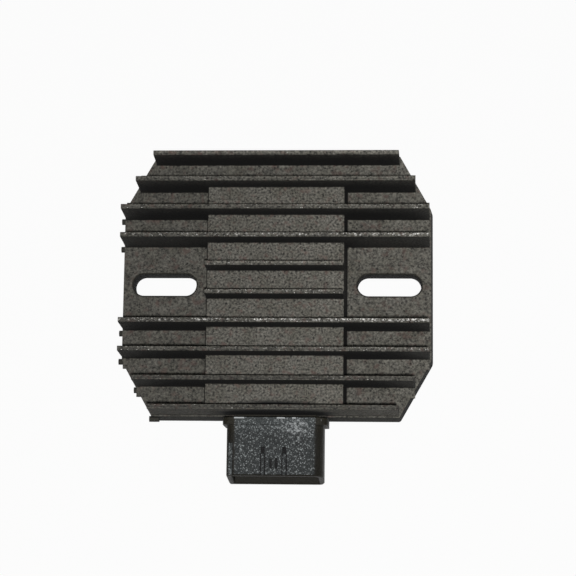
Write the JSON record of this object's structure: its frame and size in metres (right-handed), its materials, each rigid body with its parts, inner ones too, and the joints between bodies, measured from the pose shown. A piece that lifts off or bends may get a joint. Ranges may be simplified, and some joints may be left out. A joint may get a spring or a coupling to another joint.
{
  "type": "voltage regulator rectifier",
  "caption": "Finned die-cast heat sink on an octagonal slotted plate, with a keyed plug socket at one end and a potted rectifier circuit behind the raised middle block.",
  "frame": {"origin": "middle between the two mounting slots, on the flat mounting face", "axes": "+Z out of the mounting face through the fins, the plug socket looks towards -Y, the slots lie along X"},
  "size_m": [0.102, 0.1074, 0.0243],
  "materials": {
    "coated_casting": "fine-grained dark coating",
    "connector_plastic": "fine moulded grain",
    "tinned_blades": "tin plated, satin",
    "silicone_sheet": "matte",
    "device_epoxy": "moulded epoxy",
    "zinc_screws": "zinc plated",
    "board_laminate": "solder mask",
    "capacitor_can": "sleeved can",
    "resistor_body": "lacquered",
    "potting_epoxy": "cast resin, smooth"
  },
  "bodies": {
    "root": {"heatsink_casting": "coated_casting", "connector_housing": "connector_plastic", "terminal_phase_1": "tinned_blades", "terminal_phase_2": "tinned_blades", "terminal_phase_3": "tinned_blades", "terminal_battery": "tinned_blades", "terminal_sense": "tinned_blades", "terminal_ground": "tinned_blades", "insulating_sheet": "silicone_sheet", "thyristor_1": "device_epoxy", "thyristor_2": "device_epoxy", "thyristor_3": "device_epoxy", "diode_1": "device_epoxy", "diode_2": "device_epoxy", "diode_3": "device_epoxy", "device_screws": "zinc_screws", "circuit_board": "board_laminate", "reservoir_capacitor": "capacitor_can", "control_transistor": "device_epoxy", "gate_resistors": "resistor_body", "sense_resistor": "resistor_body", "zener_diode": "device_epoxy", "potting_resin": "potting_epoxy"}
  },
  "joints": []
}
